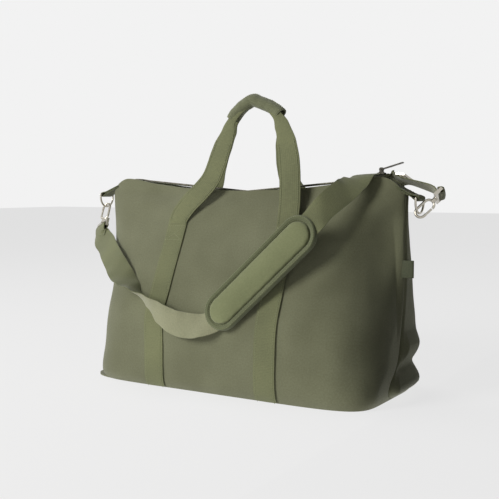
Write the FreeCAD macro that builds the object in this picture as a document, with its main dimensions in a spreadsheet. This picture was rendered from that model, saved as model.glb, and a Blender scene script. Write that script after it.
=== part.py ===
# Weekender bag in heavy canvas: two body panels, a boarded base, four webbing strips that carry two
# handles, a zip across the mouth and a shoulder strap clipped to a D-ring at each end.
# Frame: +X along the bag, front face towards -Y, +Z up, origin on the floor under the base centre.
import FreeCAD, Part
import math
import os
from FreeCAD import Placement, Rotation, Vector

doc = FreeCAD.newDocument("weekender_bag")
dims = doc.addObject("Spreadsheet::Sheet", "dims")

# alias, millimetres or degrees, what it measures
SIZES = [
    ("canvas", 3.0, "thickness of the body canvas"),
    ("lining_gap", 0.4, "clearance from canvas to lining"),
    ("lining_cloth", 1.2, "thickness of the lining"),
    ("board_thick", 3.0, "thickness of the base board"),
    ("board_length", 440.0, "length of the base board"),
    ("board_depth", 180.0, "depth of the base board"),
    ("hem_centre", 302.0, "height of the mouth at its middle"),
    ("hem_peak", 322.0, "height of the mouth at its peaks"),
    ("peak_offset", 230.0, "distance of each peak from the middle"),
    ("facing_depth", 26.0, "depth of the facing inside the mouth"),
    ("strip_width", 35.0, "width of the handle webbing"),
    ("strip_thick", 2.3, "thickness of the handle webbing"),
    ("strip_offset", 99.0, "distance of each strip from the middle"),
    ("strip_top", 250.0, "height of the box stitch that ends each strip"),
    ("handle_axis_high", 253.0, "height of the fold where a handle leaves its strips"),
    ("handle_axis_out", 51.0, "distance of that fold from the middle plane"),
    ("handle_lean", 14.5, "lean of a standing handle towards the middle"),
    ("grip_radius", 11.0, "radius of the wrapped grip"),
    ("grip_bend", 48.4, "bend radius of the grip"),
    ("grip_angle", 118.0, "angle that the grip spans"),
    ("grip_shift", 16.5, "sideways place of the grip"),
    ("grip_high", 393.0, "height of the centre that the grip bends round"),
    ("strap_width", 38.0, "width of the shoulder webbing"),
    ("strap_thick", 2.4, "thickness of the shoulder webbing"),
    ("pad_radius", 26.6, "radius of the pad's round ends inside its binding"),
    ("pad_span", 160.0, "distance between the centres of the pad's round ends"),
    ("pad_foam", 10.0, "thickness of the padded part"),
    ("pad_back", 2.4, "thickness of the backing"),
    ("binding", 2.4, "width of the pad's binding"),
    ("flap_reach", 7.6, "half the width of the zip"),
    ("flap_length", 204.0, "length of each half of the zip that opens"),
    ("chain_reach", 5.5, "half the width of the closed ends of the zip"),
    ("teeth_gap", 0.7, "gap from the middle to the teeth"),
    ("tape_thick", 1.2, "thickness of the zip tape"),
    ("teeth_reach", 2.6, "how far the teeth reach from the middle"),
    ("teeth_high", 1.6, "height of the teeth"),
    ("slider_length", 11.0, "length of the zip slider"),
    ("slider_width", 9.0, "width of the zip slider"),
    ("slider_low", 326.2, "height of the underside of the slider"),
    ("pull_length", 34.0, "length of the puller"),
    ("wire", 1.6, "radius of the D-ring's wire"),
    ("ring_radius", 16.0, "radius of the D-ring's round side"),
    ("ring_leg", 5.0, "straight part of the D-ring beside its bar"),
    ("tab_width", 25.0, "width of the end tabs"),
    ("tab_thick", 4.4, "thickness of the doubled end tabs"),
    ("eye_radius", 4.4, "radius of the fold of the tab round the ring"),
    ("hook_wire", 1.9, "radius of the hook's wire"),
    ("hook_half", 7.3, "half the width of the hook between wire centres"),
    ("hook_leg", 15.5, "straight part of the hook's sides"),
    ("hook_nose", 3.4, "straight part of the hook before the gate"),
    ("frame_length", 45.0, "length of the strap loop under a hook"),
    ("frame_high", 14.0, "height of the strap loop"),
    ("frame_thick", 4.6, "thickness of the strap loop"),
]
for row, (alias, number, note) in enumerate(SIZES, start=1):
    dims.set(f"A{row}", note)
    dims.set(f"B{row}", str(number))
    dims.setAlias(f"B{row}", alias)
doc.recompute()


def size(alias):
    """A driving size as a plain number."""
    return float(dims.get(alias))


def bind(thing, **formulas):
    """Tie properties of a document object to the sheet."""
    for prop, formula in formulas.items():
        thing.setExpression(prop, formula)
    return thing


def block(name, length, width, height, place=None):
    """A box whose three sides are formulas on the sheet."""
    box = bind(doc.addObject("Part::Box", name), Length=length, Width=width, Height=height)
    box.Placement = place or Placement()
    return box


def rod(name, radius, length, place=None):
    cylinder = bind(doc.addObject("Part::Cylinder", name), Radius=radius, Height=length)
    cylinder.Placement = place or Placement()
    return cylinder


def solid(name, shape, place=None):
    """A piece that primitives and lofts of the document cannot give."""
    piece = doc.addObject("Part::Feature", name)
    piece.Shape = shape
    piece.Placement = place or piece.Placement
    return piece


def cut(name, base, tool):
    piece = doc.addObject("Part::Cut", name)
    piece.Base = base
    piece.Tool = tool
    return piece


def common(name, base, tool):
    piece = doc.addObject("Part::Common", name)
    piece.Base = base
    piece.Tool = tool
    return piece


def fuse(name, *pieces):
    piece = doc.addObject("Part::MultiFuse", name)
    piece.Shapes = list(pieces)
    return piece


NODES = []


def node(piece, name):
    """Hand a finished piece over as a sub-part of the bag."""
    piece.Label = name
    NODES.append(piece)
    return piece


def origin_plane(body, role):
    return [item for item in body.Origin.OriginFeatures if item.Role == role][0]


def padded_outline(name, points, role, length, midplane=False):
    """A PartDesign body: a closed outline on an origin plane, padded by a formula on the sheet."""
    body = doc.addObject("PartDesign::Body", name)
    sketch = body.newObject("Sketcher::SketchObject", name + "_outline")
    sketch.AttachmentSupport = [(origin_plane(body, role), "")]
    sketch.MapMode = "FlatFace"
    corners = [Vector(x, y, 0) for x, y in points]
    for start, end in zip(corners, corners[1:] + corners[:1]):
        sketch.addGeometry(Part.LineSegment(start, end), False)
    pad = body.newObject("PartDesign::Pad", name + "_pad")
    pad.Profile = sketch
    pad.setExpression("Length", length)
    pad.Midplane = midplane
    body.Tip = pad
    return body


# ---------------------------------------------------------------- the body of the bag
# height, half length, half depth and squareness of the bag's outline, from the base to the mouth
SECTIONS = [
    (0.0, 238.0, 97.0, 6.0),
    (8.0, 246.0, 106.0, 6.0),
    (20.0, 252.0, 112.0, 5.5),
    (50.0, 256.0, 116.0, 5.0),
    (110.0, 260.0, 113.0, 4.5),
    (150.0, 262.0, 97.0, 4.0),
    (200.0, 264.0, 75.0, 3.4),
    (250.0, 264.0, 49.0, 3.2),
    (276.0, 265.0, 35.0, 3.5),
    (300.0, 266.0, 20.0, 4.0),
    (330.0, 262.0, 14.0, 4.0),
]
OUTLINE_STEPS = 24


def section_at(height):
    """Half length, half depth and squareness at a height."""
    for low, high in zip(SECTIONS, SECTIONS[1:]):
        if height <= high[0]:
            share = (height - low[0]) / (high[0] - low[0])
            return [low[i] + share * (high[i] - low[i]) for i in (1, 2, 3)]
    return list(SECTIONS[-1][1:])


def outline_wire(height, outset):
    """The bag's outline at a height, as a smooth closed curve moved out by a distance."""
    half_length, half_depth, squareness = section_at(height)
    points = []
    for step in range(OUTLINE_STEPS):
        turn = 2 * math.pi * step / OUTLINE_STEPS
        across = math.copysign(abs(math.cos(turn)) ** (2 / squareness), math.cos(turn))
        along = math.copysign(abs(math.sin(turn)) ** (2 / squareness), math.sin(turn))
        points.append(Vector((half_length + outset) * across, (half_depth + outset) * along, height))
    curve = Part.BSplineCurve()
    curve.interpolate(Points=points, PeriodicFlag=True)
    return Part.Wire([curve.toShape()])


def form(name, outset, low=0.0):
    """A solid of the bag's shape, moved out by a distance, from a lowest height to above the mouth."""
    heights = [low] + [line[0] for line in SECTIONS if line[0] > low + 3.0]
    wires = []
    for number, height in enumerate(heights):
        wires.append(solid(f"{name}_outline_{number}", outline_wire(height, outset)))
    loft = doc.addObject("Part::Loft", name)
    loft.Sections = wires
    loft.Solid = True
    loft.Ruled = False
    return loft


def mouth_line(drop):
    """The line of the mouth in the middle plane, lowered by a distance, from end to end."""
    centre = size("hem_centre") - drop
    peak = size("hem_peak") - drop
    offset = size("peak_offset")
    half = [(0.0, centre), (95.0, centre + 3.5), (170.0, centre + 11.5), (offset, peak)]
    half += [(offset + 22.0, peak - 8.0), (offset + 36.0, peak - 25.0), (offset + 48.0, peak - 40.0)]
    return [Vector(-x, 0, z) for x, z in reversed(half[1:])] + [Vector(x, 0, z) for x, z in half]


def mouth_block(name, drop, top_drop=None):
    """Everything above the mouth line, or a band of it, to the full depth of the bag."""
    reach = 160.0
    line = mouth_line(drop)
    lower = Part.BSplineCurve()
    lower.interpolate(Points=line)
    if top_drop is None:
        over = [Vector(line[0].x, 0, 380.0), Vector(line[-1].x, 0, 380.0)]
        edges = [lower.toShape(), Part.LineSegment(line[-1], over[1]).toShape()]
        edges += [Part.LineSegment(over[1], over[0]).toShape(), Part.LineSegment(over[0], line[0]).toShape()]
    else:
        top = mouth_line(top_drop)
        upper = Part.BSplineCurve()
        upper.interpolate(Points=top)
        edges = [lower.toShape(), Part.LineSegment(line[-1], top[-1]).toShape()]
        edges += [upper.toShape(), Part.LineSegment(top[0], line[0]).toShape()]
    wire = Part.Wire(Part.__sortEdges__(edges))
    face = Part.Face(wire)
    face.translate(Vector(0, -reach, 0))
    return solid(name, face.extrude(Vector(0, 2 * reach, 0)))


canvas = size("canvas")
lining_out = canvas + size("lining_gap")
lining_in = lining_out + size("lining_cloth")
board_top = canvas + 0.3 + size("board_thick")

outer_form = form("outer_form", 0.0)
room_form = form("room_form", -canvas, low=canvas)
lining_form = form("lining_form", -lining_out, low=board_top + 0.3)
inside_form = form("inside_form", -lining_in, low=board_top + 0.3 + size("lining_cloth"))
above_mouth = mouth_block("above_mouth", 0.0)
above_lining = mouth_block("above_lining", size("facing_depth"))

whole_shell = cut("whole_shell", outer_form, room_form)
open_shell = cut("open_shell", whole_shell, above_mouth)
REACH = 400.0


def half_space(name, side, gap=0.0, low=-10.0):
    """A large block on the front (-1) or back (+1) side of the middle plane."""
    near = gap if side > 0 else -gap - REACH
    return block(name, str(2 * REACH), str(REACH), "600", Placement(Vector(-REACH, near, low), Rotation()))


for side, word in ((-1, "front"), (1, "back")):
    node(common(word + "_panel_piece", open_shell, half_space(word + "_half", side, 0.0, canvas)), word + "_panel")
base_slab = block("base_slab", str(2 * REACH), str(2 * REACH), "dims.canvas",
                  Placement(Vector(-REACH, -REACH, 0), Rotation()))
node(common("base_panel_piece", outer_form, base_slab), "base_panel")

# The lining is a cup inside the canvas; the facings are the turned-in hem that carries the zip.
lining_cup = cut("lining_cup", lining_form, inside_form)
node(cut("lining_piece", lining_cup, above_lining), "lining")
facing_band = mouth_block("facing_band", 3.6, 2.0)
for side, word in ((-1, "front"), (1, "back")):
    near = half_space(word + "_facing_half", side, size("flap_reach") + 0.7)
    turned = common(word + "_turned_hem", common(word + "_hem_band", facing_band, lining_form), near)
    node(turned, word + "_hem_facing")

board_half_length = size("board_length") / 2
board_half_depth = size("board_depth") / 2
corner = 18.0
board_points = [
    (-board_half_length + corner, -board_half_depth), (board_half_length - corner, -board_half_depth),
    (board_half_length, -board_half_depth + corner), (board_half_length, board_half_depth - corner),
    (board_half_length - corner, board_half_depth), (-board_half_length + corner, board_half_depth),
    (-board_half_length, board_half_depth - corner), (-board_half_length, -board_half_depth + corner),
]
board = node(padded_outline("board", board_points, "XY_Plane", "dims.board_thick"), "base_board")
board.Placement = Placement(Vector(0, 0, canvas + 0.15), Rotation())

# A flat pocket hangs from the lining on the back wall.
pocket_points = [(41.0, 242.0), (84.0, 152.0), (85.6, 152.8), (42.6, 242.8)]
node(padded_outline("pocket", pocket_points, "YZ_Plane", "220", midplane=True), "inner_pocket")

# ---------------------------------------------------------------- webbing strips on the body
strip_gap = 0.3
strip_form = cut("strip_form", form("strip_outside", strip_gap + size("strip_thick")), form("strip_inside", strip_gap))
for side, word in ((-1, "front"), (1, "back")):
    for hand, hand_word in ((-1, "left"), (1, "right")):
        start = Vector(hand * size("strip_offset") - size("strip_width") / 2, min(0.0, side * 200.0), 4.0)
        window = block(f"{word}_{hand_word}_window", "dims.strip_width", "200", "dims.strip_top - 4",
                       Placement(start, Rotation()))
        node(common(f"{word}_{hand_word}_strip", strip_form, window), f"{word}_strip_{hand_word}")

# ---------------------------------------------------------------- handles
# Centre line of a handle in its own plane: sideways place, distance from the fold, half width.
HANDLE_LINE = [
    (-97.0, 1.6, 17.5), (-93.0, 12.0, 17.5), (-81.0, 28.0, 17.5), (-63.0, 48.0, 17.5),
    (-48.0, 76.0, 17.5), (-38.0, 108.0, 16.5), (-30.0, 138.0, 12.0), (-26.0, 164.0, 5.0),
    (-8.0, 186.5, 4.5), (16.5, 194.0, 4.5), (41.0, 188.0, 4.5), (60.0, 168.0, 5.0),
    (74.0, 142.0, 12.0), (86.0, 112.0, 16.5), (93.0, 84.0, 17.5), (97.5, 56.0, 17.5),
    (99.5, 28.0, 17.5), (99.0, 1.6, 17.5),
]


def handle_face():
    """The flat outline of a handle: both edges of its webbing, joined at the two folds."""
    edges = []
    for way in (1, -1):
        side_points = []
        for number, (across, rise, half) in enumerate(HANDLE_LINE):
            before = HANDLE_LINE[max(number - 1, 0)]
            after = HANDLE_LINE[min(number + 1, len(HANDLE_LINE) - 1)]
            length = math.hypot(after[0] - before[0], after[1] - before[1])
            normal = (-(after[1] - before[1]) / length, (after[0] - before[0]) / length)
            if number in (0, len(HANDLE_LINE) - 1):
                normal = (math.copysign(1.0, normal[0]), 0.0)
            side_points.append(Vector(across + way * half * normal[0], rise + way * half * normal[1], 0))
        curve = Part.BSplineCurve()
        curve.interpolate(Points=side_points)
        edges.append((curve.toShape(), side_points[0], side_points[-1]))
    joins = [Part.LineSegment(edges[0][1], edges[1][1]).toShape(), Part.LineSegment(edges[0][2], edges[1][2]).toShape()]
    return Part.Face(Part.Wire(Part.__sortEdges__([edges[0][0], joins[1], edges[1][0], joins[0]])))


handle_thick = size("strip_thick")
handle_outline = solid("handle_outline", handle_face())
for side, word in ((-1, "front"), (1, "back")):
    flat = doc.addObject("Part::Extrusion", word + "_webbing")
    flat.Base = handle_outline
    flat.DirMode = "Custom"
    flat.Dir = Vector(0, 0, 1)
    flat.setExpression("LengthFwd", "dims.strip_thick")
    flat.Solid = True
    doc.recompute()
    tilt = Rotation(Vector(1, 0, 0), 90 + side * size("handle_lean"))
    across_plane = tilt.multVec(Vector(0, 0, 1))
    fold = Vector(0, side * size("handle_axis_out"), size("handle_axis_high"))
    flat.Placement = Placement(fold - across_plane * (handle_thick / 2), tilt)
    web = node(flat, word + "_handle_web")
    ring = doc.addObject("Part::Torus", word + "_grip_ring")
    bind(ring, Radius1="dims.grip_bend", Radius2="dims.grip_radius", Angle3="dims.grip_angle")
    ring.Placement = Placement(Vector(size("grip_shift"), 0, size("grip_high")),
                               Rotation(Vector(0, 1, 0), -(90 - size("grip_angle") / 2) - size("grip_angle"))
                               * Rotation(Vector(1, 0, 0), -90))
    half = common(word + "_grip_half", ring, half_space(word + "_grip_side", side, 0.2))
    node(cut(word + "_grip", half, web), word + "_grip_wrap")

# ---------------------------------------------------------------- zip
# The zip opens from the middle as four flaps, each hinged on a straight line just inside the mouth.
flap_low = 299.6
flap_high = 317.2
flap_start = 0.4
slope = math.degrees(math.atan2(flap_high - flap_low, size("flap_length")))
for side, word in ((-1, "front"), (1, "back")):
    for hand, hand_word in ((-1, "left"), (1, "right")):
        turn = Rotation(Vector(0, 1, 0), -slope) if hand > 0 else Rotation(Vector(0, 1, 0), slope)
        for part, low, gap, reach, thick in (
                ("tape", 0.0, 0.25, "flap_reach", "tape_thick"),
                ("teeth", size("tape_thick"), size("teeth_gap"), "teeth_reach", "teeth_high")):
            near = gap if side > 0 else -size(reach)
            start = flap_start if hand > 0 else -flap_start - size("flap_length") / math.cos(math.radians(slope))
            local = Vector(start, near, low)
            piece = block(f"{part}_{word}_{hand_word}_piece", f"dims.flap_length / {math.cos(math.radians(slope)):.5f}",
                          f"dims.{reach} - {gap}", f"dims.{thick}")
            piece.Placement = Placement(turn.multVec(local) + Vector(0, 0, flap_low), turn)
            node(piece, f"zip_{part}_{word}_{hand_word}")

# Past the flaps the chain stays closed on the peak, down to the end seam.
for hand, hand_word in ((-1, "left"), (1, "right")):
    chain = block(f"{hand_word}_chain", "30", "2 * dims.chain_reach", "2.8",
                  Placement(Vector(hand * 221.0 - 15.0, -size("chain_reach"), 317.2), Rotation()))
    node(chain, f"zip_end_{hand_word}")

slider_at = 226.0
slider_plate = block("slider_plate", "dims.slider_length", "dims.slider_width", "2.2",
                     Placement(Vector(slider_at - size("slider_length") / 2, -size("slider_width") / 2,
                                      size("slider_low")), Rotation()))
bridge_points = [(-4.5, 0.0), (4.5, 0.0), (1.2, 4.8), (-1.2, 4.8)]
bridge = padded_outline("slider_bridge", bridge_points, "XZ_Plane", "2.6", midplane=True)
bridge.Placement = Placement(Vector(slider_at, 0, size("slider_low") + 2.2), Rotation())
pin_high = size("slider_low") + 7.0
pin = rod("slider_pin", "1.1", "7", Placement(Vector(slider_at, 3.5, pin_high), Rotation(Vector(1, 0, 0), 90)))
node(fuse("slider_body", slider_plate, bridge, pin), "zip_slider")

pull_rest = 16.0
pull_eye = cut("pull_eye", rod("pull_eye_out", "3.0", "5"), rod("pull_eye_hole", "1.45", "5"))
pull_eye.Placement = Placement(Vector(0, 2.5, 0), Rotation(Vector(1, 0, 0), 90))
pull_slot = block("pull_slot", "8", "3.2", "8", Placement(Vector(-4, -1.6, -4), Rotation()))
pull_blade = block("pull_blade", "dims.pull_length - 2.2", "6", "1.8", Placement(Vector(2.2, -3, -0.9), Rotation()))
pull_whole = cut("pull_whole", fuse("pull_blank", pull_eye, pull_blade), pull_slot)
pull_whole.Placement = Placement(Vector(slider_at, 0, pin_high), Rotation(Vector(0, 1, 0), -pull_rest))
node(pull_whole, "zip_pull")

# ---------------------------------------------------------------- end tabs, D-rings and hooks
TABS = {"left": (Vector(-289.0, 0, 295.0), Vector(-259.0, 0, 307.0)),
        "right": (Vector(284.0, 0, 292.0), Vector(256.0, 0, 306.0))}
HOOK_AIM = {"left": Vector(5.0, -18.0, -33.0), "right": Vector(0.62, 0.40, 0.67)}
STRAP_EDGE = {"left": Vector(0.85, -0.42, 0.33), "right": Vector(-0.27, 0.92, -0.29)}
tip_gap = 5.2
wire = size("wire")
hook_half = size("hook_half")
hook_leg = size("hook_leg")
top_turn = hook_half - tip_gap
low_turn = top_turn + hook_leg
post_start = low_turn + hook_half
post_end = post_start + 4.6
frame_at = post_end + 2.4
along_y = Rotation(Vector(1, 0, 0), 90)
FRAMES = {}

for hand_word, (eye, root) in TABS.items():
    # the tab: doubled webbing that comes out of the end seam and folds round the ring's bar
    run = root - eye
    band_turn = Rotation(Vector(0, 1, 0), -math.degrees(math.atan2(run.z, run.x)))
    band_corner = eye + band_turn.multVec(Vector(0, -size("tab_width") / 2, -size("tab_thick") / 2))
    band = block(hand_word + "_band", str(run.Length), "dims.tab_width", "dims.tab_thick",
                 Placement(band_corner, band_turn))
    eye_place = Placement(eye + Vector(0, size("tab_width") / 2, 0), along_y)
    fold = rod(hand_word + "_fold", "dims.eye_radius", "dims.tab_width", eye_place)
    hole = rod(hand_word + "_hole", "dims.wire + 0.35", "dims.tab_width", eye_place)
    drilled = cut(hand_word + "_drilled", fuse(hand_word + "_tab_blank", band, fold), hole)
    node(cut(hand_word + "_tab", drilled, outer_form), "tab_" + hand_word)

    # the D-ring: a straight bar through the tab, two short legs and a half round
    bar_half = size("ring_radius")
    leg_low = eye.z - size("ring_leg")
    bar = rod(hand_word + "_bar", "dims.wire", "2 * dims.ring_radius",
              Placement(Vector(eye.x, bar_half, eye.z), along_y))
    parts = [bar]
    for way in (-1, 1):
        parts.append(rod(f"{hand_word}_leg_{way + 1}", "dims.wire", "dims.ring_leg",
                         Placement(Vector(eye.x, way * bar_half, leg_low), Rotation())))
        ball = bind(doc.addObject("Part::Sphere", f"{hand_word}_corner_{way + 1}"), Radius="dims.wire")
        ball.Placement = Placement(Vector(eye.x, way * bar_half, eye.z), Rotation())
        parts.append(ball)
    half_round = doc.addObject("Part::Torus", hand_word + "_half_round")
    bind(half_round, Radius1="dims.ring_radius", Radius2="dims.wire")
    half_round.Angle3 = 180
    half_round.Placement = Placement(Vector(eye.x, 0, leg_low), Rotation(Vector(0, 0, 1), 90)
                                     * Rotation(Vector(1, 0, 0), -90))
    parts.append(half_round)
    node(fuse(hand_word + "_d_ring", *parts), "ring_" + hand_word)

    # the hook, drawn upright from the ring and then turned to its aim
    aim = HOOK_AIM[hand_word]
    aim.normalize()
    sideways = Vector(0, 1, 0).cross(aim)
    sideways.normalize()
    hook_turn = Rotation(sideways, aim.cross(sideways), aim, "ZXY")
    ring_low = Vector(eye.x, 0, leg_low - size("ring_radius"))
    hook_place = Placement(ring_low, hook_turn)

    def local(x, y, z, turn=Rotation(), place=hook_place):
        """A placement inside the hook's own frame."""
        return place * Placement(Vector(x, y, z), turn)

    arcs = []
    for level, start in ((top_turn, 180.0), (low_turn, 0.0)):
        arc = doc.addObject("Part::Torus", f"{hand_word}_hook_arc_{int(start)}")
        bind(arc, Radius1="dims.hook_half", Radius2="dims.hook_wire")
        arc.Angle3 = 180
        arc.Placement = local(0, 0, level, Rotation(Vector(0, 1, 0), start) * Rotation(Vector(1, 0, 0), 90))
        arcs.append(arc)
    back = rod(hand_word + "_hook_back", "dims.hook_wire", "dims.hook_leg", local(-hook_half, 0, top_turn))
    post = rod(hand_word + "_hook_post", "3.2", f"{post_end - post_start + 1.5:.3f}",
               local(0, 0, post_start - 1.5))
    nose = rod(hand_word + "_hook_nose", "dims.hook_wire", "dims.hook_nose", local(hook_half, 0, top_turn))
    node(fuse(hand_word + "_hook", arcs[0], arcs[1], back, nose, post), "hook_" + hand_word)
    node(rod(hand_word + "_gate", "dims.hook_wire - 0.3", "dims.hook_leg - dims.hook_nose - 2.1",
             local(hook_half, 0, top_turn + size("hook_nose") + 0.6)), "gate_" + hand_word)

    # the strap loop under the hook: a flat frame with a slot for the webbing
    frame_length = size("frame_length")
    frame_thick = size("frame_thick")
    edge = STRAP_EDGE[hand_word]
    edge.normalize()
    downward = aim - edge * aim.dot(edge)
    centre = hook_place.multVec(Vector(0, 0, frame_at))
    frame_place = Placement(centre, Rotation(edge, downward.cross(edge), downward, "ZXY"))
    FRAMES[hand_word] = frame_place
    plate = block(hand_word + "_frame_plate", "dims.frame_length", "dims.frame_thick", "dims.frame_high",
                  frame_place * Placement(Vector(-frame_length / 2, -frame_thick / 2, -2.0), Rotation()))
    slot = block(hand_word + "_frame_slot", "dims.strap_width + 1", "20", "5.2",
                 frame_place * Placement(Vector(-size("strap_width") / 2 - 0.5, -10, 2.4), Rotation()))
    boss = rod(hand_word + "_boss", "4.0", "2.6", local(0, 0, post_end + 0.4))
    node(fuse(hand_word + "_hook_base", cut(hand_word + "_frame", plate, slot), boss), "hook_base_" + hand_word)

# ---------------------------------------------------------------- shoulder strap
strap_half = size("strap_width") / 2


def ribbon(lines, first_half=None):
    """Webbing through a list of places: centre, edge direction and facing at each."""
    wires = []
    for number, (centre, edge, facing) in enumerate(lines):
        edge = Vector(edge)
        edge.normalize()
        normal = Vector(facing)
        normal = normal - edge * normal.dot(edge)
        normal.normalize()
        reach = edge * (first_half if first_half and number == 0 else strap_half)
        rise = normal * (size("strap_thick") / 2)
        corners = [centre + reach + rise, centre - reach + rise, centre - reach - rise, centre + reach - rise]
        wires.append(Part.makePolygon(corners + corners[:1]))
    loft = Part.makeLoft(wires, True, True)
    return loft if loft.Volume > 0 else loft.reversed()


# the pad lies on the front face: its long direction, its facing and its centre
pad_low = Vector(28.0, -117.6, 128.0)
pad_aim = Vector(113.0, 22.6, 113.0)
pad_aim.normalize()
pad_facing = Vector(0, -1, 0.2)
pad_facing.normalize()
pad_edge = pad_facing.cross(pad_aim)
pad_edge.normalize()
pad_facing = pad_aim.cross(pad_edge)
pad_place = Placement(pad_low, Rotation(pad_aim, pad_edge, pad_facing, "ZXY"))
pad_total = size("pad_foam") + size("pad_back")


def racetrack(name, radius, thick, low):
    """A long plate with round ends, on the pad's own plane."""
    ends = [rod(f"{name}_end_{spot}", radius, thick,
                pad_place * Placement(Vector(spot * size("pad_span"), 0, low), Rotation())) for spot in (0, 1)]
    middle = block(name + "_middle", "dims.pad_span", f"2 * ({radius})", thick,
                   pad_place * Placement(Vector(0, -(size("pad_radius") + (size("binding")
                                         if "binding" in radius else 0.0)), low), Rotation()))
    return fuse(name, ends[0], ends[1], middle)


pad_base = -pad_total / 2
node(racetrack("pad_back_plate", "dims.pad_radius", "dims.pad_back", pad_base), "pad_backing")
node(racetrack("pad_core", "dims.pad_radius", "dims.pad_foam", pad_base + size("pad_back")), "shoulder_pad")
rim_out = racetrack("rim_out", "dims.pad_radius + dims.binding", f"{pad_total}", pad_base)
rim_in = racetrack("rim_in", "dims.pad_radius", f"{pad_total + 2}", pad_base - 1)
node(cut("pad_rim", rim_out, rim_in), "pad_binding")

pad_tip = size("pad_radius") + size("binding")
crossing = Vector(206.0, -27.0, 321.0)
left_frame = FRAMES["left"]
fold_edge = left_frame.Rotation.multVec(Vector(1, 0, 0))
fold_facing = left_frame.Rotation.multVec(Vector(0, 1, 0))
if fold_facing.y > 0:
    fold_facing = -fold_facing
hinge_gap = 1.6
fold_low = 30.0
fold_hinge = left_frame.multVec(Vector(0, 0, fold_low + 6.0))
hinge_line = crossing - fold_hinge
hinge_line.normalize()
lower_start = left_frame.multVec(Vector(0, 0, fold_low + 6.0 + 2.5))
upper_edge = pad_edge if pad_edge.z > 0 else -pad_edge
lower_lines = [
    (lower_start, fold_edge, fold_facing),
    (Vector(-234.0, -74.0, 191.0), (0.62, -0.2, 0.78), (-0.5, -0.85, 0.1)),
    (Vector(-189.0, -99.0, 162.0), (0.55, -0.1, 0.8), (-0.3, -0.95, 0.1)),
    (Vector(-149.0, -114.0, 142.5), (0.5, -0.05, 0.86), (-0.15, -0.98, 0.0)),
    (Vector(-108.0, -121.5, 124.0), (0.42, 0.05, 0.9), (0, -1, 0.05)),
    (Vector(-62.0, -122.5, 106.0), (0.2, 0.05, 0.97), (0, -1, 0.05)),
    (Vector(-20.0, -122.5, 104.0), (-0.35, 0.05, 0.93), (0, -1, 0.1)),
    (pad_low - pad_aim * (pad_tip - 6.0), upper_edge, pad_facing),
]
lower_blank = solid("lower_blank", ribbon(lower_lines, 5.0))
node(cut("lower_run", lower_blank, rim_out), "strap_lower_run")

crossing_in = crossing + Vector(-0.4, -hinge_gap, -1.2)
upper_lines = [
    (pad_low + pad_aim * (size("pad_span") + pad_tip - 6.0), upper_edge, pad_facing),
    (Vector(176.0, -78.0, 281.0), (-0.45, 0.0, 0.89), (0.2, -0.97, 0.1)),
    (Vector(191.0, -58.0, 300.0), (-0.45, 0.0, 0.89), (0.2, -0.9, 0.3)),
    (crossing_in, -hinge_line, (0.1, -0.6, 0.8)),
]
upper_blank = solid("upper_blank", ribbon(upper_lines))
node(cut("upper_run", upper_blank, rim_out), "strap_upper_run")

# the fixed stretch: over the mouth, along the back of the hem and down to the right hook
right_frame = FRAMES["right"]
tail_edge = right_frame.Rotation.multVec(Vector(1, 0, 0))
if tail_edge.y < 0:
    tail_edge = -tail_edge
tail_facing = right_frame.Rotation.multVec(Vector(0, 0, 1))
crossing_out = crossing + Vector(0.3, 1.5 * hinge_gap, 1.2)
adjuster_at = Vector(251.0, 14.0, 318.5)
adjuster_edge = Vector(0.08, 0.93, -0.28)
adjuster_facing = Vector(0.15, 0.28, 0.95)
tail_lines = [
    (crossing_out, -hinge_line, (0.0, -0.45, 0.9)),
    (Vector(208.0, -13.0, 324.3), (-1.0, 0.0, 0.0), (0.0, -0.1, 1.0)),
    (Vector(209.0, 10.0, 324.3), (-1.0, 0.0, 0.0), (0.0, 0.15, 1.0)),
    (Vector(215.0, 24.0, 318.5), (-0.85, 0.35, -0.38), (0.1, 0.8, 0.6)),
    (Vector(230.0, 26.0, 316.0), (-0.35, 0.45, -0.82), (0.1, 0.9, 0.4)),
    (adjuster_at - Vector(6.0, -2.0, -1.0), (0.04, 0.85, -0.5), (0.1, 0.45, 0.85)),
    (adjuster_at + Vector(8.0, 0.0, -2.2), adjuster_edge, adjuster_facing),
    (right_frame.multVec(Vector(0, 14.0, 5.0)), tail_edge, tail_facing),
    (right_frame.multVec(Vector(0, 1.0, 5.0)), tail_edge, tail_facing),
]
tail_blank = solid("tail_blank", ribbon(tail_lines))

adjuster_turn = Rotation(adjuster_facing.cross(adjuster_edge), adjuster_edge, adjuster_facing, "ZYX")
adjuster_place = Placement(adjuster_at + Vector(7.0, 0, -1.8), adjuster_turn)
glide = block("glide_plate", "14", "dims.frame_length", "3.0",
              adjuster_place * Placement(Vector(-7, -size("frame_length") / 2, 2.0), Rotation()))
for number, low in enumerate((-4.6, 0.9)):
    opening = block(f"glide_slot_{number}", "3.7", "dims.strap_width + 1", "8",
                    adjuster_place * Placement(Vector(low, -size("strap_width") / 2 - 0.5, -3), Rotation()))
    glide = cut(f"glide_{number}", glide, opening)
node(cut("glide_piece", glide, tail_blank), "strap_adjuster")

FOLD_THICK = 8.0
for hand_word, frame_place in FRAMES.items():
    fold_length = 22.4 if hand_word == "left" else 4.0
    blank = block(hand_word + "_fold_blank", "dims.strap_width", str(FOLD_THICK), f"{fold_length + 2.4:.2f}",
                  frame_place * Placement(Vector(-size("strap_width") / 2, -FOLD_THICK / 2, 5.2), Rotation()))
    frame_piece = doc.getObject(hand_word + "_hook_base")
    if hand_word == "left":
        node(cut("left_fold_piece", blank, frame_piece), "strap_end_left")
    else:
        node(cut("tail_piece", fuse("tail_whole", tail_blank, blank), frame_piece), "strap_tail")

# ---------------------------------------------------------------- small label in the right end seam
label_blank = block("label_blank", "20", "1.6", "26", Placement(Vector(257.0, -0.8, 178.0), Rotation()))
node(cut("label_piece", label_blank, outer_form), "side_label")

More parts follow.
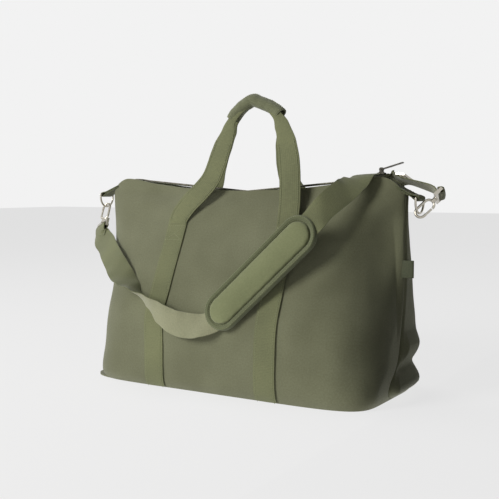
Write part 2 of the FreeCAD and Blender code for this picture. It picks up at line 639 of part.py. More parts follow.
# ---------------------------------------------------------------- check and write
doc.recompute()
for item in doc.Objects:
    state = [word for word in item.State if word in ("Invalid", "Error")]
    if state:
        raise RuntimeError(f"{item.Name} failed: {state}")
os.makedirs("parts", exist_ok=True)
for piece in NODES:
    shape = piece.Shape
    if shape.isNull() or not shape.isValid() or shape.Volume <= 0:
        raise RuntimeError(f"{piece.Label} has no valid solid")
    shape.exportStep(f"parts/{piece.Label}.step")
    print(piece.Label, len(shape.Solids), round(shape.Volume), [round(v, 1) for v in (
        shape.BoundBox.XMin, shape.BoundBox.XMax, shape.BoundBox.YMin, shape.BoundBox.YMax,
        shape.BoundBox.ZMin, shape.BoundBox.ZMax)])
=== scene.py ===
# Weekender bag in olive cotton canvas: the visible pieces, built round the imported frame.
import math

import bmesh
import bpy
import numpy as np
from mathutils import Matrix, Vector, noise


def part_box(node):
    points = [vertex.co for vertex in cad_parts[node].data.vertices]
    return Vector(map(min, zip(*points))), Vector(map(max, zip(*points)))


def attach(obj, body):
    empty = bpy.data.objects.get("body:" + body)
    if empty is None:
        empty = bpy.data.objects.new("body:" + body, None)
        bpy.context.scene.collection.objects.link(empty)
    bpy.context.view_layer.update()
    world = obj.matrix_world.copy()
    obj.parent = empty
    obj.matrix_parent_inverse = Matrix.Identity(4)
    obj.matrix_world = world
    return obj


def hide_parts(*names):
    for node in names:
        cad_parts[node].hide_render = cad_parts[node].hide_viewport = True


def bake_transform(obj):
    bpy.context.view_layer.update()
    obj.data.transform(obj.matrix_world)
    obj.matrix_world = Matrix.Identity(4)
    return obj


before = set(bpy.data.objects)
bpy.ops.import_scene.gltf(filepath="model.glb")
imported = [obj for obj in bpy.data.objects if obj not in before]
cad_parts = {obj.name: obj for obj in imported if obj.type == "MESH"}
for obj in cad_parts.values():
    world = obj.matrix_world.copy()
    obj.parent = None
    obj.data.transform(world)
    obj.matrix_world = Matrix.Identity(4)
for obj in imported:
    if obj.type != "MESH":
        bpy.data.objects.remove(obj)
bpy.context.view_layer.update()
scene = bpy.context.scene

# ---------------------------------------------------------------- canvas body
# The body is two panels of heavy cotton canvas, front and back, seamed down the ends and to a flat
# base; stuffed softly, so the lower half bellies out and the sides lean in to the zipped mouth.
MM = 0.001
CANVAS_THICK = 2.6
HALF_LENGTH = [(0, 245), (8, 250), (20, 253), (50, 256), (110, 260), (150, 262), (200, 264), (250, 264),
               (276, 265), (300, 266), (330, 262)]
HALF_DEPTH = [(0, 109), (8, 113), (20, 115), (50, 116), (110, 113), (150, 97), (200, 75), (250, 49),
              (276, 35), (300, 20), (330, 14)]
SQUARENESS = [(0, 6.5), (20, 6.0), (50, 5.0), (110, 4.5), (150, 4.0), (200, 3.4), (250, 3.2), (276, 3.5),
              (300, 4.0), (330, 4.0)]
LEFT_PULL = [(0, 14), (20, 18), (60, 24), (120, 31), (170, 27), (230, 12), (290, 1), (330, 0)]
MOUTH_LINE = [(0, 302), (95, 305.5), (170, 313.5), (230, 322), (252, 314), (266, 297), (278, 282)]


def along(table, place):
    """A smooth curve through a table of (place, value), read at a place."""
    for number in range(len(table) - 1):
        if place <= table[number + 1][0] or number == len(table) - 2:
            break
    (x0, y0), (x1, y1) = table[number], table[number + 1]
    before = table[max(number - 1, 0)]
    after = table[min(number + 2, len(table) - 1)]
    span = x1 - x0
    rise0 = (y1 - before[1]) / (x1 - before[0])
    rise1 = (after[1] - y0) / (after[0] - x0)
    s = (place - x0) / span
    curve = (2 * s**3 - 3 * s**2 + 1) * y0 + (s**3 - 2 * s**2 + s) * span * rise0
    return curve + (3 * s**2 - 2 * s**3) * y1 + (s**3 - s**2) * span * rise1


def bump_at(x, z, at_x, at_z, wide_x, wide_z, turn=0.0):
    """A soft mound of height 1 in the panel's own plane, turned by an angle in degrees."""
    c, s = math.cos(math.radians(turn)), math.sin(math.radians(turn))
    across, rise = (x - at_x) * c + (z - at_z) * s, (z - at_z) * c - (x - at_x) * s
    return math.exp(-(across / wide_x) ** 2 - (rise / wide_z) ** 2)


def slack(x, z, side):
    """How far the cloth stands out from the even form: belly, pulls at the webbing and soft folds."""
    out = 2.2 * noise.noise(Vector((x / 95, z / 80, 3.0 + side))) + 0.7 * noise.noise(
        Vector((x / 34, z / 48, 9.0 * side)))
    for strip in (-99, 99):
        out += 1.6 * bump_at(x, z, strip, 262, 26, 40)
    if side < 0:
        out += 6.0 * bump_at(x, z, 204, 240, 110, 20, 62) - 13.0 * bump_at(x, z, 246, 186, 34, 76)
        out += 3.4 * bump_at(x, z, 214, 96, 26, 70, -10) - 3.0 * bump_at(x, z, 0, 236, 70, 34)
        out += 1.6 * bump_at(x, z, -180, 286, 60, 9, -8) + 2.0 * bump_at(x, z, -215, 120, 22, 80, 6)
    else:
        out -= 3.5 * bump_at(x, z, 20, 220, 110, 40)
        out += 3.2 * bump_at(x, z, -190, 240, 90, 18, -58) + 2.4 * bump_at(x, z, 205, 120, 22, 80, 5)
        out += 8.0 * bump_at(x, z, 258, 74, 34, 17) + 10.0 * bump_at(x, z, 256, 17, 34, 16)
        out -= 4.0 * bump_at(x, z, 258, 46, 26, 9)
    edge = min(1.0, max(0.0, z / 12.0)) * min(1.0, max(0.0, (332 - z) / 30.0))
    return out * edge


def eased(value):
    """A smooth step from 0 to 1."""
    value = min(1.0, max(0.0, value))
    return value * value * (3 - 2 * value)


def body_point(turn, height, side, inset=0.0):
    """A point of the body. turn runs from 0 at the left end seam to pi at the right one."""
    z = height
    a, b, n = along(HALF_LENGTH, z), along(HALF_DEPTH, z), along(SQUARENESS, z)
    c, s = -math.cos(turn), math.sin(turn)
    if side < 0:
        n -= 1.3 * eased(c) * eased(z / 60) * eased((320 - z) / 60)
    reach = (abs(c) ** n + abs(s) ** n) ** (-1.0 / n)
    x, y = a * reach * c, side * b * reach * s
    x += along(LEFT_PULL, z) * eased((-x - 140) / 110)
    normal = Vector((abs(c) ** (n - 1) / a * math.copysign(1, c),
                     side * abs(s) ** (n - 1) / b, 0)).normalized()
    fade = min(1.0, abs(y) / 14.0)
    seam = 2.6 * math.exp(-(y / 2.2) ** 2) * eased(z / 10)
    out = slack(x, z, side) * fade - inset - seam
    wander = -26.0 * math.exp(-((z - 20) / 26) ** 2) + 7.0 * math.exp(-((z - 150) / 60) ** 2)
    y_shift = wander * eased((c - 0.8) / 0.2) * eased(z / 8)
    return Vector((x + normal.x * out, y + normal.y * out + y_shift, z))


def face_y(x, z, side):
    """How far out the front (-1) or back (1) face stands at a place between its corners."""
    low, high = 0.0, math.pi
    for _ in range(24):
        middle = (low + high) / 2
        low, high = (middle, high) if body_point(middle, z, side).x < x else (low, middle)
    return side * body_point(low, z, side).y


def slab(name, top, bottom):
    """A closed piece between two grids of points in millimetres, with a cloth map in millimetres / 100."""
    rows, cols = len(top), len(top[0])
    verts = [p * MM for line in top for p in line] + [p * MM for line in bottom for p in line]
    size = rows * cols
    faces = []
    for i in range(rows - 1):
        for j in range(cols - 1):
            a, b, c, d = i * cols + j, i * cols + j + 1, (i + 1) * cols + j + 1, (i + 1) * cols + j
            faces.append((a, b, c, d))
            faces.append((size + d, size + c, size + b, size + a))
    border = [(0, j) for j in range(cols)] + [(i, cols - 1) for i in range(1, rows)]
    border += [(rows - 1, j) for j in range(cols - 2, -1, -1)] + [(i, 0) for i in range(rows - 2, 0, -1)]
    for (i0, j0), (i1, j1) in zip(border, border[1:] + border[:1]):
        a, b = i0 * cols + j0, i1 * cols + j1
        faces.append((b, a, size + a, size + b))
    mesh = bpy.data.meshes.new(name)
    mesh.from_pydata(verts, [], faces)
    middle = top[rows // 2]
    across = np.cumsum([0.0] + [(q - p).length for p, q in zip(middle, middle[1:])])
    spine = [line[cols // 2] for line in top]
    down = np.cumsum([0.0] + [(q - p).length for p, q in zip(spine, spine[1:])])
    layer = mesh.uv_layers.new(name="cloth")
    places = np.empty(len(mesh.loops), dtype=np.int32)
    mesh.loops.foreach_get("vertex_index", places)
    places %= size
    coords = np.stack([across[places % cols], down[places // cols]], axis=1) * 0.01
    layer.uv.foreach_set("vector", coords.astype(np.float32).ravel())
    piece = finish_mesh(name, mesh)
    piece["slab_faces"] = 2 * (rows - 1) * (cols - 1)
    return piece


def finish_mesh(name, mesh, outward=True):
    """Smooth faces with crisp folds, normals outwards, as an object of the scene."""
    work = bmesh.new()
    work.from_mesh(mesh)
    if outward:
        bmesh.ops.recalc_face_normals(work, faces=work.faces)
    for face in work.faces:
        face.smooth = True
    for edge in work.edges:
        edge.smooth = not (len(edge.link_faces) == 2 and edge.calc_face_angle(0) > 0.9)
    work.to_mesh(mesh)
    work.free()
    piece = bpy.data.objects.new(name, mesh)
    scene.collection.objects.link(piece)
    return piece


def linear(code):
    """An sRGB hex colour as a linear RGBA tuple."""
    parts = [int(code[i:i + 2], 16) / 255 for i in (1, 3, 5)]
    return tuple(p / 12.92 if p <= 0.04045 else ((p + 0.055) / 1.055) ** 2.4 for p in parts) + (1.0,)


def add(tree, kind, settings=None, **links):
    """Add a node with its settings; links maps input names to sockets or values."""
    node = tree.nodes.new(kind)
    for key, value in (settings or {}).items():
        setattr(node, key, value)
    for key, value in links.items():
        by_number = key[0] == "i" and key[1:].isdigit()
        socket = node.inputs[int(key[1:]) if by_number else key.replace("_", " ")]
        if isinstance(value, bpy.types.NodeSocket):
            tree.links.new(value, socket)
        else:
            socket.default_value = value
    return node


def new_material(name):
    """A new material with its node tree and its surface shader."""
    material = bpy.data.materials.new(name)
    material.use_nodes = True
    tree = material.node_tree
    shader = tree.nodes["Principled BSDF"]
    return material, tree, shader


def woven(name, shade, light, thread_mm, height_mm, rough=0.85, sheen=0.25, rib=False, turned=None):
    """Cotton cloth: over-and-under threads with slubs, a little lighter or darker in patches at random."""
    material, tree, shader = new_material(name)
    coords = add(tree, "ShaderNodeTexCoord")
    if turned is None:
        place, per_mm = coords.outputs["UV"], 0.01
    else:
        mapped = add(tree, "ShaderNodeMapping", Vector=coords.outputs["Object"], Rotation=turned)
        place = mapped.outputs["Vector"]
        per_mm = MM
    scale = 2 * math.pi / (20 * thread_mm * per_mm)
    warp = add(tree, "ShaderNodeTexWave", {"bands_direction": "X"}, Vector=place, Scale=scale, Distortion=1.2,
               Detail=1.0, Detail_Scale=1.5)
    weft = add(tree, "ShaderNodeTexWave", {"bands_direction": "Y"}, Vector=place,
               Scale=scale * (0.5 if rib else 1.0), Distortion=1.2, Detail=1.0, Detail_Scale=1.5)
    cross = add(tree, "ShaderNodeMath", {"operation": "MULTIPLY" if not rib else "ADD"},
                i0=warp.outputs["Fac"], i1=weft.outputs["Fac"])
    grain = 0.10 if rib else 0.16
    slub = add(tree, "ShaderNodeTexNoise", Vector=place, Scale=1 / (2.5 * per_mm), Detail=3.0, Roughness=0.6)
    patch = add(tree, "ShaderNodeTexNoise", Vector=coords.outputs["Object"], Scale=1 / (70 * MM), Detail=2.0,
                Roughness=0.5)
    blend = add(tree, "ShaderNodeMath", {"operation": "MULTIPLY_ADD"}, i0=slub.outputs["Fac"], i1=0.55,
                i2=add(tree, "ShaderNodeMath", {"operation": "MULTIPLY_ADD"}, i0=cross.outputs[0], i1=grain,
                       i2=add(tree, "ShaderNodeMath", {"operation": "MULTIPLY_ADD"}, i0=patch.outputs["Fac"],
                              i1=0.6, i2=-0.30).outputs[0]).outputs[0])
    ramp = add(tree, "ShaderNodeValToRGB", i0=blend.outputs[0])
    ramp.color_ramp.elements[0].position, ramp.color_ramp.elements[0].color = 0.18, linear(shade)
    ramp.color_ramp.elements[1].position, ramp.color_ramp.elements[1].color = 0.72, linear(light)
    tree.links.new(ramp.outputs["Color"], shader.inputs["Base Color"])
    height = add(tree, "ShaderNodeMath", {"operation": "MULTIPLY_ADD"}, i0=slub.outputs["Fac"], i1=0.5,
                 i2=cross.outputs[0])
    bump = add(tree, "ShaderNodeBump", Strength=0.6, Distance=height_mm * MM, Height=height.outputs[0])
    tree.links.new(bump.outputs["Normal"], shader.inputs["Normal"])
    shader.inputs["Roughness"].default_value = rough
    shader.inputs["Sheen Weight"].default_value = sheen
    shader.inputs["Sheen Roughness"].default_value = 0.5
    shader.inputs["Specular IOR Level"].default_value = 0.25
    return material


CANVAS_DARK, CANVAS_LIGHT = "#6B6C52", "#84866A"
canvas = woven("cotton_canvas_olive", CANVAS_DARK, CANVAS_LIGHT, 1.5, 0.35)
canvas_inner = woven("plain_cotton_lining", "#4A4B3A", "#5D5E4A", 1.1, 0.15)


def dress(piece, material, body, slot, *nodes):
    """Give a finished piece its material and body, and hide the frame nodes it stands for; slot is not used.
    """
    piece.data.materials.clear()
    piece.data.materials.append(material)
    if body:
        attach(piece, body)
    if nodes:
        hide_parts(*nodes)
    return piece


COLUMNS, ROWS = 181, 84
WALL_FOOT = 2.0


def wall_grid(side, inset, drop=0.0, low=0.0, columns=COLUMNS, rows=ROWS):
    """The grid of one wall: columns from end seam to end seam, rows from base to mouth."""
    grid = [[None] * columns for _ in range(rows)]
    for j in range(columns):
        turn = math.pi * j / (columns - 1)
        top = 300.0
        for _ in range(6):
            top = along(MOUTH_LINE, abs(body_point(turn, top, side).x)) - drop
        for i in range(rows):
            rise = (i / (rows - 1)) ** 0.92
            point = body_point(turn, low + (top - low) * rise, side, inset)
            grid[i][j] = point
    return grid


for side, word in ((-1, "front"), (1, "back")):
    outer, inner = wall_grid(side, 0.0), wall_grid(side, CANVAS_THICK, low=WALL_FOOT)
    panel = slab(word + "_canvas_panel", outer, inner)
    dress(panel, canvas, "bag", "canvas", word + "_panel")

# The base is one flat canvas panel.
BASE_RINGS, BASE_STEPS = 14, 180
BASE_HALF_LENGTH, BASE_HALF_DEPTH, BASE_SQUARENESS = 243.5, 107.5, 6.5
base_top, base_low = [], []
for ring in range(BASE_RINGS):
    share = 0.02 + 0.98 * ring / (BASE_RINGS - 1)
    low_line, top_line = [], []
    for step in range(BASE_STEPS + 1):
        turn = 2 * math.pi * step / BASE_STEPS
        n = BASE_SQUARENESS
        reach = (abs(math.cos(turn)) ** n + abs(math.sin(turn)) ** n) ** (-1 / n)
        x = BASE_HALF_LENGTH * reach * math.cos(turn) * share
        y = BASE_HALF_DEPTH * reach * math.sin(turn) * share
        low_line.append(Vector((x, y, 0.0)))
        top_line.append(Vector((x, y, CANVAS_THICK)))
    base_low.append(low_line)
    base_top.append(top_line)
base_piece = slab("base_canvas", base_low, base_top)
dress(base_piece, canvas, "bag", "canvas", "base_panel")

# ---------------------------------------------------------------- lining, facings, pocket and board
# Inside: a plain cotton lining that hangs from the turned-in hem, a slip pocket on the back wall
# and a stiff board on the base.
LINING_INSET, LINING_THICK, HEM_DROP = 3.4, 1.0, 3.0
for side, word in ((-1, "front"), (1, "back")):
    outer = wall_grid(side, LINING_INSET, drop=HEM_DROP, low=7.0, columns=121, rows=40)
    inner = wall_grid(side, LINING_INSET + LINING_THICK, drop=HEM_DROP, low=7.6, columns=121, rows=40)
    cloth = slab(word + "_lining_cloth", outer, inner)
    dress(cloth, canvas_inner, "bag", "lining", *(["lining"] if side < 0 else []))

low_box, high_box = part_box("inner_pocket")
POCKET_ROWS, POCKET_COLUMNS = 15, 32
POCKET_BELLY, POCKET_THICK = 3.5, 1.2
pocket_rows, pocket_back = [], []
for i in range(POCKET_ROWS + 1):
    rise = i / POCKET_ROWS
    front_line, back_line = [], []
    for j in range(POCKET_COLUMNS + 1):
        share = j / POCKET_COLUMNS
        x = (low_box[0] + (high_box[0] - low_box[0]) * share) / MM
        z = (low_box[2] + (high_box[2] - low_box[2]) * rise) / MM
        y = (high_box[1] - (high_box[1] - low_box[1]) * rise) / MM
        belly = -POCKET_BELLY * math.sin(math.pi * share) * math.sin(math.pi * rise * 0.5) ** 2
        front_line.append(Vector((x, y + belly - POCKET_THICK, z)))
        back_line.append(Vector((x, y + belly, z)))
    pocket_rows.append(front_line)
    pocket_back.append(back_line)
pocket = slab("slip_pocket", pocket_rows, pocket_back)
dress(pocket, canvas_inner, "bag", "lining", "inner_pocket")

board_material, board_tree, board_shader = new_material("pressed_board_black")
board_shader.inputs["Base Color"].default_value = linear("#2B2B27")
board_grain = add(board_tree, "ShaderNodeTexNoise", Scale=1 / (1.5 * MM), Detail=2.0)
board_bump = add(board_tree, "ShaderNodeBump", Strength=0.3, Distance=0.1 * MM,
                 Height=board_grain.outputs["Fac"])
board_tree.links.new(board_bump.outputs["Normal"], board_shader.inputs["Normal"])
for node_name, material in (("base_board", board_material), ("front_hem_facing", canvas),
                            ("back_hem_facing", canvas)):
    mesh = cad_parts[node_name].data
    mesh.materials.clear()
    mesh.materials.append(material)

# ---------------------------------------------------------------- webbing
# All straps are heavy cotton webbing with a ribbed face and firm selvedges: 35 mm for the handles,
# 38 mm for the shoulder strap. A strip runs up each face from the base seam and is box-stitched.
WEB_THICK = 2.2
HANDLE_WEB = 35.0
STRAP_WEB = 38.0
webbing = woven("cotton_webbing_olive", "#66694C", "#83865F", 1.1, 0.16, rib=True)
webbing_inside = woven("cotton_webbing_reverse", "#86876A", "#A3A283", 1.1, 0.14, rib=True)
thread_material, thread_tree, thread_shader = new_material("polyester_thread_olive")
thread_shader.inputs["Base Color"].default_value = linear("#8A8E68")
thread_shader.inputs["Roughness"].default_value = 0.5
thread_twist = add(thread_tree, "ShaderNodeTexWave", Scale=1 / (4 * MM))
thread_bump = add(thread_tree, "ShaderNodeBump", Strength=0.4, Distance=0.1 * MM,
                  Height=thread_twist.outputs["Fac"])
thread_tree.links.new(thread_bump.outputs["Normal"], thread_shader.inputs["Normal"])


def smooth_stations(stations, step):
    """Places along webbing, about one step apart: centre, edge direction, facing and width share."""
    stations = [(Vector(s[0]), Vector(s[1]), Vector(s[2]), s[3] if len(s) > 3 else 1.0) for s in stations]
    result = []
    for number in range(len(stations) - 1):
        p1, p2 = stations[number], stations[number + 1]
        p0, p3 = stations[max(number - 1, 0)], stations[min(number + 2, len(stations) - 1)]
        count = max(2, int((p2[0] - p1[0]).length / step))
        for k in range(count + (number == len(stations) - 2)):
            s = k / count
            c = [0.5 * (2 * p1[0][i] + (p2[0][i] - p0[0][i]) * s
                        + (2 * p0[0][i] - 5 * p1[0][i] + 4 * p2[0][i] - p3[0][i]) * s**2
                        + (3 * p1[0][i] - p0[0][i] - 3 * p2[0][i] + p3[0][i]) * s**3) for i in range(3)]
            ease = s * s * (3 - 2 * s)
            edge = p1[1].normalized().lerp(p2[1].normalized(), ease).normalized()
            facing = p1[2].normalized().lerp(p2[2].normalized(), ease)
            facing = (facing - edge * facing.dot(edge)).normalized()
            result.append((Vector(c), edge, facing, p1[3] + (p2[3] - p1[3]) * ease))
    return result


def ribbon(name, stations, width, thick=WEB_THICK, step=4.0, bow=0.4):
    """Webbing along its stations, slightly crowned, its selvedges a little thinner."""
    places = smooth_stations(stations, step)
    top, bottom = [], []
    across = np.linspace(-1, 1, 11)
    for centre, edge, facing, share in places:
        half = width / 2 * share
        rise = [thick / 2 * (1 - 0.35 * abs(s) ** 10) for s in across]
        lift = [bow * (1 - s * s) for s in across]
        top.append([centre + edge * (half * s) + facing * (r + b) for s, r, b in zip(across, rise, lift)])
        bottom.append([centre + edge * (half * s) - facing * (r - b) for s, r, b in zip(across, rise, lift)])
    return slab(name, top, bottom), places


def item_tree(name, kind):
    """Geometry nodes that repeat a stitch or a zip tooth along the lines of a mesh."""
    tree = bpy.data.node_groups.new(name, "GeometryNodeTree")
    tree.interface.new_socket("Geometry", in_out="INPUT", socket_type="NodeSocketGeometry")
    for label in ("Pitch", "Length", "Thickness", "Width"):
        tree.interface.new_socket(label, in_out="INPUT", socket_type="NodeSocketFloat")
    tree.interface.new_socket("Material", in_out="INPUT", socket_type="NodeSocketMaterial")
    tree.interface.new_socket("Geometry", in_out="OUTPUT", socket_type="NodeSocketGeometry")
    given = add(tree, "NodeGroupInput").outputs
    line = add(tree, "GeometryNodeMeshToCurve", Mesh=given["Geometry"])
    spaced = add(tree, "GeometryNodeResampleCurve", {"mode": "LENGTH"}, Curve=line.outputs[0],
                 Length=given["Pitch"])
    if kind == "stitch":
        item = add(tree, "GeometryNodeMeshCylinder", {"fill_type": "NGON"}, Vertices=6,
                   Radius=given["Thickness"], Depth=given["Length"])
    else:
        size = add(tree, "ShaderNodeCombineXYZ", X=given["Thickness"], Y=given["Width"], Z=given["Length"])
        item = add(tree, "GeometryNodeMeshCube", Size=size.outputs[0])
    tangent = add(tree, "GeometryNodeInputTangent")
    turn = add(tree, "FunctionNodeAlignRotationToVector", {"axis": "Z"}, Vector=tangent.outputs[0])
    copies = add(tree, "GeometryNodeInstanceOnPoints", Points=spaced.outputs[0], Instance=item.outputs[0],
                 Rotation=turn.outputs[0])
    real = add(tree, "GeometryNodeRealizeInstances", Geometry=copies.outputs[0])
    painted = add(tree, "GeometryNodeSetMaterial", Geometry=real.outputs[0], Material=given["Material"])
    add(tree, "NodeGroupOutput", Geometry=painted.outputs[0])
    return tree


stitch_tree = item_tree("sewing_stitches", "stitch")
tooth_tree = item_tree("zip_teeth_row", "tooth")


def repeat_along(name, lines, tree, material, pitch, length, thickness, width, body, slot, *nodes):
    """Repeat stitches or teeth along lines of points in millimetres and make one plain mesh of them."""
    mesh = bpy.data.meshes.new(name + "_line")
    verts, edges = [], []
    for line in lines:
        edges += [(len(verts) + i, len(verts) + i + 1) for i in range(len(line) - 1)]
        verts += [Vector(p) * MM for p in line]
    mesh.from_pydata(verts, edges, [])
    guide = bpy.data.objects.new(name + "_guide", mesh)
    scene.collection.objects.link(guide)
    modifier = guide.modifiers.new("repeat", "NODES")
    modifier.node_group = tree
    values = {"Pitch": pitch * MM, "Length": length * MM, "Thickness": thickness * MM, "Width": width * MM,
              "Material": material}
    for socket in tree.interface.items_tree:
        if socket.in_out == "INPUT" and socket.name in values:
            modifier[socket.identifier] = values[socket.name]
    shape = bpy.data.meshes.new_from_object(guide.evaluated_get(bpy.context.evaluated_depsgraph_get()))
    guide.modifiers.remove(modifier)
    bpy.data.objects.remove(guide)
    piece = finish_mesh(name, shape, outward=False)
    return dress(piece, material, body, slot, *nodes)


THREAD_RADIUS = 0.34


def stitch_rows(name, lines, body, slot="webbing", pitch=3.6, length=2.5):
    """Lines of stitches in the bag's thread."""
    return repeat_along(name, lines, stitch_tree, thread_material, pitch, length, THREAD_RADIUS, 0.0,
                        body, slot)


STRIP_AT = 99.0
BOX_LOW, BOX_HIGH = 224.0, 250.0
EDGE_INSET = 3.2
handle_starts = {}
for side, word in ((-1, "front"), (1, "back")):
    strip_lines = []
    for hand, hand_word in ((-1, "left"), (1, "right")):
        middle = hand * STRIP_AT
        stations = []
        for z in (1.5, 6, 12, 20, 34, 52, 76, 100, 124, 148, 172, 196, 220, 236, BOX_HIGH):
            y = side * (face_y(middle, z, side) + WEB_THICK / 2 + 0.5)
            nearby = side * (face_y(middle, z + 2, side) + WEB_THICK / 2 + 0.5)
            climb = Vector((0, nearby - y, 2)).normalized()
            edge = Vector((-side, 0, 0))
            stations.append(((middle, y, z), edge, edge.cross(climb)))
        strip, places = ribbon(f"{word}_strip_{hand_word}_web", stations, HANDLE_WEB, bow=0.2)
        dress(strip, webbing, "bag", "webbing", f"{word}_strip_{hand_word}")
        handle_starts[(side, hand)] = places[-1]
        reach = HANDLE_WEB / 2 - EDGE_INSET
        rows = [[c + e * (way * reach) + f * (WEB_THICK / 2 + 0.1) for c, e, f, _ in places]
                for way in (-1, 1)]
        box = [p for p in places if BOX_LOW <= p[0].z <= BOX_HIGH - 2]
        rise = WEB_THICK / 2 + 0.2

        def spot(place, way):
            return place[0] + place[1] * (way * reach) + place[2] * rise

        rows.append([spot(box[0], way) for way in (-1, 0, 1)])
        rows.append([spot(box[-1], way) for way in (-1, 0, 1)])
        for way in (-1, 1):
            rows.append([spot(p, way * (2 * k / (len(box) - 1) - 1)) for k, p in enumerate(box)])
        strip_lines += rows
    stitch_rows(f"{word}_strip_stitching", strip_lines, "bag")

# ---------------------------------------------------------------- handles
# Each handle is one length of webbing from box stitch to box stitch. It leans in over the mouth and
# is folded lengthwise at the top, where a canvas wrap binds both handles into one grip.
LEAN = math.radians(14.5)
FOLD_OUT, FOLD_HIGH = 51.0, 253.0
GRIP_LOW, HANDLE_GAP = 330.0, 0.3
# sideways place, rise above the fold and share of the full width
handle_path = [(-97.5, 6, 1.0), (-92, 17, 1.0), (-79, 33, 1.0), (-62, 50, 1.0), (-47, 70, 1.0),
               (-39, 96, 1.0), (-33, 124, 0.92), (-27, 148, 0.68), (-22.5, 166, 0.42), (-7, 184, 0.36),
               (14, 194.5, 0.36), (36, 187, 0.36), (56, 171, 0.42), (70, 150, 0.7), (82, 122, 0.92),
               (90, 94, 1.0), (95.5, 64, 1.0), (99, 32, 1.0), (99.5, 6, 1.0)]
for side, word in ((-1, "front"), (1, "back")):
    up = Vector((0, -side * math.sin(LEAN), math.cos(LEAN)))
    out = Vector((0, side * math.cos(LEAN), math.sin(LEAN)))
    root = Vector((0, side * FOLD_OUT, FOLD_HIGH))
    first, last = handle_starts[(side, -1)], handle_starts[(side, 1)]
    if side > 0:
        path = [(x - 30 * eased((rise - 8) / 50) * eased((200 - rise) / 120), rise, share)
                for x, rise, share in handle_path]
    else:
        path = handle_path
    stations = []
    for number, (x, rise, share) in enumerate(path):
        before, after = path[max(number - 1, 0)], path[min(number + 1, len(path) - 1)]
        tangent = (Vector((1, 0, 0)) * (after[0] - before[0]) + up * (after[1] - before[1])).normalized()
        edge = tangent.cross(out).normalized()
        sway = 2.2 * math.sin(math.pi * number / (len(path) - 1) * 3) * share
        sway *= 0.5 if 1 < number < len(path) - 2 else 0
        centre = root + Vector((x, 0, 0)) + up * rise + out * sway
        if side > 0:
            centre -= out * 13 * eased((rise - 10) / 50) * eased((186 - rise) / 90)
        twist = 0.42 * (bump_at(x, rise, -66, 46, 22, 26) - bump_at(x, rise, 96, 60, 30, 30))
        facing = (out + edge * twist * side * 0.6).normalized()
        stations.append((centre, edge, facing, share))
    start_edge = first[1] if stations[0][1].dot(first[1]) > 0 else -first[1]
    end_edge = last[1] if stations[-1][1].dot(last[1]) > 0 else -last[1]
    stations.insert(0, (first[0], start_edge, first[2], 1.0))
    stations.append((last[0], end_edge, last[2], 1.0))
    web, places = ribbon(word + "_handle_webbing", stations, HANDLE_WEB, step=3.0, bow=0.7)
    for vertex in web.data.vertices:
        if vertex.co.z > GRIP_LOW * MM and side * vertex.co.y < HANDLE_GAP * MM:
            vertex.co.y = side * HANDLE_GAP * MM
    dress(web, webbing, None, "webbing", word + "_handle_web")
    open_part = [p for p in places if p[3] > 0.9]
    half = HANDLE_WEB / 2 - EDGE_INSET
    lines = []
    for way in (-1, 1):
        for hand in (-1, 1):
            lines.append([c + e * (way * half * s) + f * (WEB_THICK / 2 + 0.8)
                          for c, e, f, s in open_part if (c.x - 15) * hand > 0 and c.z > 252])
    seam = stitch_rows(word + "_handle_stitching", lines, None)
    for piece in (web, seam):
        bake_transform(piece)

# The wrap: a canvas sleeve round both handles, pinched to a soft peak at the top of the grip.
wrap_canvas = woven("cotton_canvas_wrap", "#686B50", "#878A6C", 1.5, 0.3)
WRAP_TALL, WRAP_DEEP, WRAP_THICK, WRAP_STEPS = 9.6, 10.6, 1.8, 24
GRIP_LINE = [(-27.0, 415.0), (-22.0, 423.0), (-12.0, 431.5), (0.0, 438.5), (11.0, 442.5), (22.0, 439.0),
             (36.0, 433.5), (49.0, 427.0), (60.0, 418.5)]
for side, word in ((-1, "front"), (1, "back")):
    outer, inner = [], []
    places = smooth_stations([((x, 0, z), (0, 1, 0), (0, 0, 1)) for x, z in GRIP_LINE], 1.6)
    for number, (centre, _, _, _) in enumerate(places):
        before, after = places[max(number - 1, 0)][0], places[min(number + 1, len(places) - 1)][0]
        tangent = (after - before).normalized()
        up = Vector((-tangent.z, 0, tangent.x))
        out_line, in_line = [], []
        share = number / (len(places) - 1)
        crease = 0.8 * math.sin(share * 31) * math.sin(share * 13 + side)
        crease += 1.2 * math.exp(-((share - 0.47) / 0.05) ** 2)
        flare = 1.0 + 0.06 * (math.exp(-(share / 0.05) ** 2) + math.exp(-((1 - share) / 0.05) ** 2))
        for k in range(WRAP_STEPS + 1):
            angle = math.pi * k / WRAP_STEPS
            tall, deep = WRAP_TALL * flare + 0.35 * crease, WRAP_DEEP * flare + 0.5 * crease
            ripple = 0.35 * noise.noise(Vector((share * 9, k * 0.5, side * 4)))
            out_line.append(centre + up * (tall + ripple) * math.cos(angle)
                            + Vector((0, side, 0)) * ((deep + ripple) * math.sin(angle) + 0.25))
            in_line.append(centre + up * (tall - WRAP_THICK) * math.cos(angle)
                           + Vector((0, side, 0)) * ((deep - WRAP_THICK) * math.sin(angle) + 0.25))
        outer.append(out_line)
        inner.append(in_line)
    wrap = slab(word + "_grip_canvas", outer, inner)
    dress(wrap, wrap_canvas, word + "_handle", "canvas", word + "_grip_wrap")
    lip = [[line[1] + Vector((0, side * 0.3, 0.35)) for line in outer[2:-2]]]
    for end in (outer[2], outer[-3]):
        lip.append([end[k] + Vector((0, side * 0.4, 0)) for k in range(2, WRAP_STEPS - 1)])
    stitch_rows(word + "_grip_stitching", lip, word + "_handle", "canvas")

